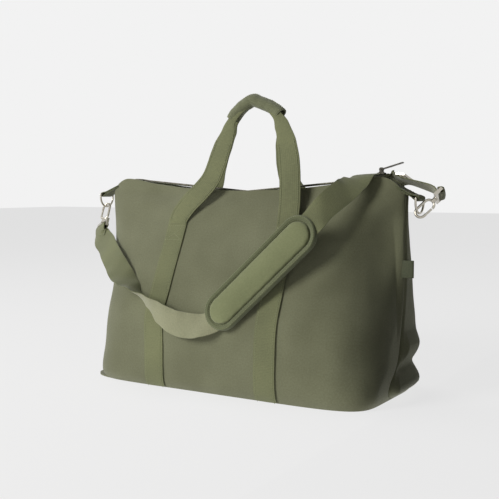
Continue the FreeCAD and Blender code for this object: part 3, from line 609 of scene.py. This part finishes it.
# ---------------------------------------------------------------- zip
# A metal-toothed zip across the mouth. Its cotton tape is sewn to the hem and opens as four flaps;
# past them short closed lengths run out to the ends.
zip_cloth = woven("zip_tape_cotton", "#3B3E2C", "#55593E", 0.9, 0.15, turned=(0, 0, 0))
tooth_metal, tooth_nodes, tooth_shader = new_material("zip_tooth_black_nickel")
tooth_shader.inputs["Base Color"].default_value = linear("#6E6A5E")
tooth_shader.inputs["Metallic"].default_value = 1.0
tooth_grain = add(tooth_nodes, "ShaderNodeTexNoise", Scale=1 / (1.2 * MM), Detail=2.0)
tooth_rough = add(tooth_nodes, "ShaderNodeMapRange", Value=tooth_grain.outputs["Fac"], To_Min=0.28, To_Max=0.5)
tooth_nodes.links.new(tooth_rough.outputs[0], tooth_shader.inputs["Roughness"])
FLAP_LENGTH, TAPE_LOW, TAPE_END, TAPE_THICK = 204.0, 299.6, 317.2, 1.2
TOOTH_PITCH, TOOTH_LONG, TOOTH_TALL, TOOTH_WIDE = 2.6, 1.4, 1.7, 2.3
for side, word in ((-1, "front"), (1, "back")):
    for hand, hand_word in ((-1, "left"), (1, "right")):
        flap = f"{word}_flap_{hand_word}"
        rise = (TAPE_END - TAPE_LOW) / FLAP_LENGTH
        row = [(hand * x, side * 1.55, TAPE_LOW + rise * x + TAPE_THICK + TOOTH_TALL / 2)
               for x in (1.6 + 0.65 * (side + 1), 100.0, FLAP_LENGTH - 1.5)]
        repeat_along(f"zip_row_{word}_{hand_word}", [row], tooth_tree, tooth_metal, TOOTH_PITCH, TOOTH_LONG,
                     TOOTH_TALL, TOOTH_WIDE, flap, "zip_teeth", f"zip_teeth_{word}_{hand_word}")
        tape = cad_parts[f"zip_tape_{word}_{hand_word}"].data
        tape.materials.clear()
        tape.materials.append(zip_cloth)
for hand, hand_word in ((-1, "left"), (1, "right")):
    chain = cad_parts["zip_end_" + hand_word].data
    chain.materials.clear()
    chain.materials.append(zip_cloth)
    rows = [[(hand * (208.0 + 0.65 * (way + 1)), way * 1.4, 320.6), (hand * 234.0, way * 1.4, 320.6)]
            for way in (-1, 1)]
    repeat_along("zip_end_row_" + hand_word, rows, tooth_tree, tooth_metal, TOOTH_PITCH, TOOTH_LONG, 1.4,
                 TOOTH_WIDE, "bag", "zip_teeth")


# ---------------------------------------------------------------- metal hardware
# Die-cast hooks, strap loops and the slide adjuster, nickel-plated and polished, with soft casting
# waves; the zip's slider and its long blade puller are the same metal plated black.
def plated(name, colour, low, high, wave_mm):
    """Plated metal: bright, with smudges of the given roughness and soft casting waves."""
    material, tree, shader = new_material(name)
    shader.inputs["Metallic"].default_value = 1.0
    shader.inputs["Base Color"].default_value = linear(colour)
    smudge = add(tree, "ShaderNodeTexNoise", Scale=1 / (6 * MM), Detail=4.0, Roughness=0.65)
    rough = add(tree, "ShaderNodeMapRange", Value=smudge.outputs["Fac"], From_Min=0.3, From_Max=0.7,
                To_Min=low, To_Max=high)
    tree.links.new(rough.outputs[0], shader.inputs["Roughness"])
    wave = add(tree, "ShaderNodeTexNoise", Scale=1 / (wave_mm * MM), Detail=1.0)
    bump = add(tree, "ShaderNodeBump", Strength=0.25, Distance=0.15 * MM, Height=wave.outputs["Fac"])
    tree.links.new(bump.outputs["Normal"], shader.inputs["Normal"])
    return material


nickel = plated("polished_nickel_plate", "#B9B4A8", 0.14, 0.34, 3.0)
black_nickel = plated("black_nickel_plate", "#3A3833", 0.2, 0.42, 2.0)
for name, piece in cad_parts.items():
    if name.startswith(("ring_", "hook_", "gate_")) or name == "strap_adjuster":
        piece.data.materials.clear()
        piece.data.materials.append(nickel)
    elif name in ("zip_slider", "zip_pull"):
        piece.data.materials.clear()
        piece.data.materials.append(black_nickel)

# ---------------------------------------------------------------- end tabs
# At each end a short loop of 25 mm webbing comes out of the seam, goes round the bar of the D-ring
# and back, its two layers sewn together.
TAB_WIDTH, TAB_LAYER = 25.0, 2.0
tab_webbing = woven("cotton_webbing_tab", "#53573C", "#6E7251", 1.25, 0.4, rib=True)
TAB_ENDS = {"left": ((-289, 0, 295), (-259, 0, 307)), "right": ((284, 0, 292), (256, 0, 306))}
for hand_word, (eye, root) in TAB_ENDS.items():
    eye, root = Vector(eye), Vector(root)
    run = (root - eye).normalized()
    up = Vector((0, 1, 0)).cross(run)
    up = up if up.z > 0 else -up
    width_way = (0, 1, 0)
    stations = [(root + up * 1.15 + run * 6, width_way, up), (eye + up * 1.2 + run * 11, width_way, up),
                (eye + up * 2.6 + run * 4, width_way, up)]
    for turn in range(20, 161, 20):
        around = up * math.cos(math.radians(turn)) - run * math.sin(math.radians(turn))
        stations.append((eye + around * 3.1, width_way, around))
    stations += [(eye - up * 2.6 + run * 4, width_way, -up), (eye - up * 1.2 + run * 11, width_way, -up),
                 (root - up * 1.15 + run * 6, width_way, -up)]
    tab, _ = ribbon("tab_webbing_" + hand_word, stations, TAB_WIDTH, TAB_LAYER, step=1.5, bow=0.0)
    dress(tab, tab_webbing, "bag", "webbing", "tab_" + hand_word)
    rows = []
    for reach in (10.5, 15.5, 20.5):
        rows.append([eye + run * reach + up * 2.4 + Vector((0, y, 0)) for y in (-9.5, 0, 9.5)])
        rows.append([eye + run * reach - up * 2.4 + Vector((0, y, 0)) for y in (-9.5, 0, 9.5)])
    stitch_rows("tab_stitching_" + hand_word, rows, "bag")


# ---------------------------------------------------------------- shoulder strap
# One length of 38 mm webbing. It is folded round the loop of the left hook and sewn, hangs across the
# front with half a twist, passes under the pad and over the mouth, and ends round the right loop.
LOOP_DROP = 31.9


def loop_frame(ring_low, aim, edge):
    """The place of the flat loop under a hook, its length along x and its depth along z."""
    aim, edge = Vector(aim).normalized(), Vector(edge).normalized()
    down = (aim - edge * aim.dot(edge)).normalized()
    turned = Matrix((edge, down.cross(edge), down)).transposed().to_4x4()
    return Matrix.Translation(Vector(ring_low) + aim * LOOP_DROP) @ turned


left_loop = loop_frame((-289, 0, 274), (5, -18, -33), (0.85, -0.42, 0.33))
right_loop = loop_frame((284, 0, 271), (0.62, 0.40, 0.67), (-0.27, 0.92, -0.29))
loop_x = left_loop.to_3x3() @ Vector((1, 0, 0))
loop_y = left_loop.to_3x3() @ Vector((0, 1, 0))
loop_z = left_loop.to_3x3() @ Vector((0, 0, 1))
front_way = -1 if loop_y.y > 0 else 1


def by_left(y, z):
    """A place beside the left loop: y out to the front, z down from its top."""
    return left_loop @ Vector((0, y * front_way, z))


def two_sided(piece, body, *nodes):
    """Webbing whose face and paler reverse both show."""
    dress(piece, webbing, body, "webbing", *nodes)
    piece.data.materials.append(webbing_inside)
    grid = np.zeros(len(piece.data.polygons), dtype=np.int32)
    flat = piece["slab_faces"]
    grid[1:flat:2] = 1
    piece.data.polygons.foreach_set("material_index", grid)
    return piece


def rolled(points):
    """Stations from (centre, outward direction, roll in degrees): roll 0 lies flat, 180 shows the reverse."""
    stations = []
    for number, (centre, outward, roll) in enumerate(points):
        ahead = Vector(points[min(number + 1, len(points) - 1)][0]) - Vector(points[max(number - 1, 0)][0])
        ahead.normalize()
        out = Vector(outward)
        out = (out - ahead * out.dot(ahead)).normalized()
        up = ahead.cross(out)
        up = up if up.z > 0 else -up
        c, s = math.cos(math.radians(roll)), math.sin(math.radians(roll))
        stations.append((centre, up * c - out * s, out * c + up * s))
    return stations


outward_left = loop_y * front_way
edge_up = loop_x if loop_x.z > 0 else -loop_x
fold_front = [(by_left(0.4, 5.0), edge_up, -loop_z),
              (by_left(3.2, 6.6), edge_up, outward_left), (by_left(3.7, 9.8), edge_up, outward_left),
              (by_left(3.0, 14.0), edge_up, outward_left), (by_left(1.8, 19.0), edge_up, outward_left)]
hang = rolled([((-270, -35, 220), (0.3, -0.92, 0.25), -6), ((-250, -48, 212), (0.3, -0.93, 0.2), -4),
               ((-230, -64, 201), (0.25, -0.95, 0.15), 2), ((-207, -80, 188), (0.15, -0.97, 0.1), 12),
               ((-182, -96, 173), (0.05, -0.98, 0.1), 34), ((-156, -109, 158), (-0.1, -0.98, 0.05), 74),
               ((-132, -117, 144), (-0.1, -0.99, 0.05), 108), ((-108, -121, 130), (-0.05, -0.99, 0.05), 138),
               ((-84, -123, 117), (0, -1, 0.05), 160), ((-58, -124, 106), (0, -1, 0.05), 176),
               ((-32, -124, 102), (0, -1, 0.1), 190), ((-6, -123, 104), (0, -1, 0.1), 206)])
PAD_LOW = Vector((28.0, -117.6, 128.0))
PAD_SPAN, PAD_HALF = 160.0, 29.0
pad_aim = Vector((113.0, 22.6, 113.0)).normalized()
pad_edge = Vector((0, -1, 0.2)).normalized().cross(pad_aim).normalized()
pad_facing = pad_aim.cross(pad_edge)
pad_place = Matrix((pad_aim, pad_edge, pad_facing)).transposed().to_4x4()
pad_place.translation = PAD_LOW
pad_up = pad_edge if pad_edge.z > 0 else -pad_edge
under_low = [(pad_place @ Vector((-16, 0, -4.4)), -pad_up, -pad_facing),
             (pad_place @ Vector((10, 0, -4.4)), -pad_up, -pad_facing)]
lower, _ = ribbon("strap_lower_webbing", fold_front + hang + under_low, STRAP_WEB, step=3.5, bow=0.5)
lower = two_sided(lower, None, "strap_lower_run")
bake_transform(lower)

fold_back = [(by_left(-0.4, 5.0), edge_up, -loop_z),
             (by_left(-3.2, 6.6), edge_up, -outward_left), (by_left(-3.7, 9.8), edge_up, -outward_left),
             (by_left(-3.0, 14.0), edge_up, -outward_left), (by_left(-1.5, 19.0), edge_up, -outward_left),
             (by_left(-1.4, 30.0), edge_up, -outward_left)]
turned_end, _ = ribbon("strap_fold_left", fold_back, STRAP_WEB, step=2.0, bow=0.0)
dress(turned_end, webbing, "bag", "webbing", "strap_end_left")
cross_rows = [[by_left(2.8, low) + edge_up * x for x in (-16, 0, 16)] for low in (19.0, 27.5)]
stitch_rows("strap_fold_stitching", cross_rows, "bag")

CROSSING = Vector((206.0, -27.0, 321.0))
glide_at = Vector((251.0, 14.0, 318.5))
tail_edge = right_loop.to_3x3() @ Vector((1, 0, 0))
tail_edge = tail_edge if tail_edge.y > 0 else -tail_edge
right_deep = right_loop.to_3x3() @ Vector((0, 0, 1))
right_flat = right_loop.to_3x3() @ Vector((0, 1, 0))
upper_stations = [
    (pad_place @ Vector((150, 0, -4.4)), pad_up, pad_facing),
    (pad_place @ Vector((176, 0, -4.0)), pad_up, pad_facing),
    (pad_place @ Vector((193, 0, -2.0)), pad_up, pad_facing),
    ((176, -78.5, 281.5), (-0.5, 0.02, 0.86), (0.2, -0.97, 0.1)),
    ((191, -57, 300.5), (-0.6, 0, 0.8), (0.15, -0.9, 0.35)),
    ((200, -40, 313), (-0.85, 0, 0.4), (0.1, -0.75, 0.6)),
    (CROSSING + Vector((0.5, 1.0, 1.0)), (-0.97, -0.01, -0.1), (0.0, -0.5, 0.87)),
    ((208, -13, 325.0), (-1, 0, -0.05), (0, -0.1, 1)),
    ((209, 8, 325.0), (-1, 0.05, -0.05), (0, 0.15, 1)),
    ((215, 23, 319.5), (-0.85, 0.35, -0.38), (0.1, 0.8, 0.6)),
    ((230, 26, 316.5), (-0.35, 0.45, -0.82), (0.1, 0.9, 0.4)),
    (glide_at - Vector((6, -2, -1)), (0.04, 0.85, -0.5), (0.1, 0.45, 0.85)),
    (glide_at + Vector((8, 0, -2.2)), (0.08, 0.93, -0.28), (0.15, 0.28, 0.95)),
    (right_loop @ Vector((0, 14, 5)), tail_edge, right_deep),
    (right_loop @ Vector((0, 2, 5)), tail_edge, right_deep),
    (right_loop @ Vector((0, -3.4, 6.8)), tail_edge, right_deep * 0.6 - right_flat * 0.4),
    (right_loop @ Vector((0, -3.6, 11.5)), tail_edge, -right_flat),
    (right_loop @ Vector((0, 0, 14.2)), tail_edge, right_deep),
    (right_loop @ Vector((0, 3.6, 12.0)), tail_edge, right_flat),
    (right_loop @ Vector((0, 5.4, 8.6)), tail_edge, right_flat)]
upper, _ = ribbon("strap_upper_webbing", upper_stations, STRAP_WEB, step=3.0, bow=0.4)
upper = two_sided(upper, None, "strap_upper_run", "strap_tail")
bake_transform(upper)


# ---------------------------------------------------------------- shoulder pad
# A long round-ended pad on the strap: a firm border of covered board with a bound edge, and a foam
# cushion sewn down inside it, so a narrow channel with a line of stitches runs all round.
def racetrack(radius, step, steps):
    """A point of a long loop with round ends, in the pad's own plane."""
    arc, line = math.pi * PAD_HALF, PAD_SPAN
    total = 2 * (arc + line)
    walked = (step % steps) / steps * total
    if walked < line:
        return Vector((walked, -radius, 0))
    walked -= line
    if walked < arc:
        angle = -math.pi / 2 + walked / PAD_HALF
        return Vector((PAD_SPAN + radius * math.cos(angle), radius * math.sin(angle), 0))
    walked -= arc
    if walked < line:
        return Vector((PAD_SPAN - walked, radius, 0))
    angle = math.pi / 2 + (walked - line) / PAD_HALF
    return Vector((radius * math.cos(angle), radius * math.sin(angle), 0))


def turned_track(name, profile, steps):
    """A closed piece from a profile of (radius, height) swept round the loop, capped at both ends."""
    verts, faces = [], []
    for radius, high in profile:
        for step in range(steps):
            point = racetrack(radius, step, steps)
            point.z = high
            verts.append((pad_place @ point) * MM)
    for ring in range(len(profile) - 1):
        for step in range(steps):
            a, b = ring * steps + step, ring * steps + (step + 1) % steps
            faces.append((a, b, b + steps, a + steps))
    faces.append(tuple(range(steps)))
    faces.append(tuple(range((len(profile) - 1) * steps, len(profile) * steps)))
    mesh = bpy.data.meshes.new(name)
    mesh.from_pydata(verts, [], faces)
    return finish_mesh(name, mesh)


def stuffed(piece, voxel, pressure, cap):
    """Blow the cushion up as cloth, its underside held, and keep each point within a cap."""
    remesh = piece.modifiers.new("even", "REMESH")
    remesh.mode = "VOXEL"
    remesh.voxel_size = voxel * MM
    mesh = bpy.data.meshes.new_from_object(piece.evaluated_get(bpy.context.evaluated_depsgraph_get()))
    piece.modifiers.clear()
    piece.data = mesh
    start = np.array([v.co for v in mesh.vertices])
    flat = pad_place.inverted()
    held = piece.vertex_groups.new(name="held")
    held.add([v.index for v in mesh.vertices if (flat @ (v.co / MM)).z < CUSHION_HELD], 1.0, "REPLACE")
    cloth = piece.modifiers.new("stuffing", "CLOTH")
    cloth.settings.quality = 6
    cloth.settings.mass = 0.3
    cloth.settings.tension_stiffness = 15
    cloth.settings.compression_stiffness = 15
    cloth.settings.use_pressure = True
    cloth.settings.uniform_pressure_force = pressure
    cloth.settings.effector_weights.gravity = 0
    cloth.settings.vertex_group_mass = "held"
    cloth.collision_settings.use_collision = False
    for number in range(1, 21):
        scene.frame_set(number)
    blown = piece.evaluated_get(bpy.context.evaluated_depsgraph_get())
    moved = np.array([v.co for v in blown.data.vertices]) - start
    reach = np.linalg.norm(moved, axis=1, keepdims=True)
    moved *= np.minimum(1.0, cap * MM / np.maximum(reach, 1e-9))
    piece.modifiers.clear()
    scene.frame_set(1)
    piece.vertex_groups.clear()
    piece.data.vertices.foreach_set("co", (start + moved).astype(np.float32).ravel())
    finer = piece.modifiers.new("finer", "SUBSURF")
    finer.levels = finer.render_levels = 1
    mesh = bpy.data.meshes.new_from_object(piece.evaluated_get(bpy.context.evaluated_depsgraph_get()))
    piece.modifiers.clear()
    piece.data = mesh
    for polygon in mesh.polygons:
        polygon.use_smooth = True


CUSHION_HELD = 1.0
UPRIGHT = (math.radians(90), 0, 0)
pad_cover = woven("pad_cover_canvas", "#767B57", "#8C9169", 1.2, 0.2, turned=UPRIGHT)
border_canvas = woven("pad_border_canvas", "#62674A", "#7B8060", 1.2, 0.25, turned=UPRIGHT)
# radius and height round each section, from the middle of the top to the middle of the underside
BORDER_PROFILE = [(0.6, 0.6), (19.0, 0.6), (21.4, 0.8), (22.2, 1.4), (22.8, 2.6), (23.8, 3.3), (25.4, 3.5),
                  (27.2, 3.4), (28.3, 2.8), (28.9, 1.6), (29.0, 0.0), (28.8, -1.2), (29.1, -2.2),
                  (29.1, -4.6), (28.6, -5.8), (27.4, -6.2), (20.0, -6.2), (0.6, -6.2)]
CUSHION_PROFILE = [(0.6, 6.6), (10.0, 6.5), (15.5, 6.1), (18.4, 5.2), (20.0, 3.8), (20.6, 2.2), (20.7, 0.4),
                   (20.0, -0.8), (12.0, -1.0), (0.6, -1.0)]
border = turned_track("pad_border", BORDER_PROFILE, 220)
dress(border, border_canvas, "strap", "pad_backing", "pad_backing", "pad_binding")
cushion = turned_track("pad_cushion", CUSHION_PROFILE, 160)
stuffed(cushion, 3.0, 4.0, 1.8)
dress(cushion, pad_cover, "strap", "pad_cover", "shoulder_pad")
channel = [(pad_place @ (racetrack(22.0, step, 240) + Vector((0, 0, 1.7)))) for step in range(241)]
rim_row = [(pad_place @ (racetrack(27.0, step, 240) + Vector((0, 0, 3.7)))) for step in range(241)]
stitch_rows("pad_stitching", [channel, rim_row], "strap", "pad_cover")

# ---------------------------------------------------------------- side label
# A blank folded tape, sewn into the right end seam.
label_cloth = woven("label_satin_tape", "#3A3F2B", "#5A5F42", 0.8, 0.1, rough=0.55)
LABEL_MIDDLE = 191.0
LABEL_WIDTH, LABEL_THICK = 25.0, 0.7
LABEL_FOLD = [(256, 0.75, (0, 1, 0)), (266, 1.3, (0, 1, 0)), (274.5, 1.2, (0.3, 1, 0)), (276.6, 0, (1, 0, 0)),
              (274.5, -1.2, (0.3, -1, 0)), (266, -1.3, (0, -1, 0)), (256, -0.75, (0, -1, 0))]
label_stations = [((x, y, LABEL_MIDDLE), (0, 0, 1), facing) for x, y, facing in LABEL_FOLD]
label, _ = ribbon("side_label_tape", label_stations, LABEL_WIDTH, LABEL_THICK, step=1.2, bow=0.0)
dress(label, label_cloth, "bag", "label", "side_label")

# ---------------------------------------------------------------- floor, light and camera
# A pale seamless floor, a large soft light from the front left and a darker right side.
floor_mesh = bpy.data.meshes.new("floor")
FLOOR_REACH, FLOOR_LOW = 9, -0.0005
floor_mesh.from_pydata([(x * FLOOR_REACH, y * FLOOR_REACH, FLOOR_LOW)
                        for x, y in ((-1, -1), (1, -1), (1, 1), (-1, 1))], [], [(0, 1, 2, 3)])
floor = bpy.data.objects.new("floor", floor_mesh)
scene.collection.objects.link(floor)
paper, _, paper_shader = new_material("matt_white_paper")
paper_shader.inputs["Base Color"].default_value = linear("#6E6D6D")
paper_shader.inputs["Roughness"].default_value = 1.0
paper_shader.inputs["Specular IOR Level"].default_value = 0.0
paper_shader.inputs["Emission Color"].default_value = linear("#FFFFFF")
paper_shader.inputs["Emission Strength"].default_value = 0.74
floor_mesh.materials.append(paper)

world = bpy.data.worlds.new("studio")
world.use_nodes = True
scene.world = world
world_tree = world.node_tree
back = world_tree.nodes["Background"]
back.inputs["Color"].default_value = linear("#F2F2F2")
back.inputs["Strength"].default_value = 1.0
dim = add(world_tree, "ShaderNodeBackground", Color=linear("#F2F2F2"), Strength=0.07)
seen = add(world_tree, "ShaderNodeLightPath")
bright = add(world_tree, "ShaderNodeMath", {"operation": "MAXIMUM"}, i0=seen.outputs["Is Camera Ray"],
             i1=seen.outputs["Is Glossy Ray"])
choose = add(world_tree, "ShaderNodeMixShader", i0=bright.outputs[0], i1=dim.outputs[0], i2=back.outputs[0])
world_tree.links.new(choose.outputs[0], world_tree.nodes["World Output"].inputs["Surface"])


def soft_light(name, place, target, size, power):
    """A round soft box that looks at a target, its size in metres and its power in watts."""
    lamp = bpy.data.lights.new(name, "AREA")
    lamp.shape = "DISK"
    lamp.size = size
    lamp.energy = power
    holder = bpy.data.objects.new(name, lamp)
    holder.location = place
    holder.rotation_euler = (Vector(target) - Vector(place)).to_track_quat("-Z", "Y").to_euler()
    scene.collection.objects.link(holder)


soft_light("key", (-1.15, -2.1, 1.15), (0.0, 0, 0.16), 1.2, 48)
soft_light("top", (-0.9, 0.3, 2.4), (0, 0, 0.2), 1.4, 16)

# a black card lies beside the right end and takes up the light that the floor would throw on it
card_mesh = bpy.data.meshes.new("black_card")
card_mesh.from_pydata([(0.27, -1.6, 0.001), (2.6, -1.6, 0.001), (2.6, 1.6, 0.001), (0.27, 1.6, 0.001)], [],
                      [(0, 1, 2, 3)])
card = bpy.data.objects.new("black_card", card_mesh)
scene.collection.objects.link(card)
card_material, _, card_shader = new_material("black_card_paper")
card_shader.inputs["Base Color"].default_value = linear("#060606")
card_shader.inputs["Roughness"].default_value = 1.0
card_mesh.materials.append(card_material)
card.visible_camera = card.visible_shadow = card.visible_glossy = False

lens = bpy.data.cameras.new("camera")
lens.lens = 62.8
lens.clip_end = 60
eye = bpy.data.objects.new("camera", lens)
eye.location = (0.719, -1.1726, 0.308)
eye.rotation_euler = (math.radians(90 - 4.11), 0, math.radians(31.4))
scene.collection.objects.link(eye)
scene.camera = eye
scene.view_settings.view_transform = "Standard"
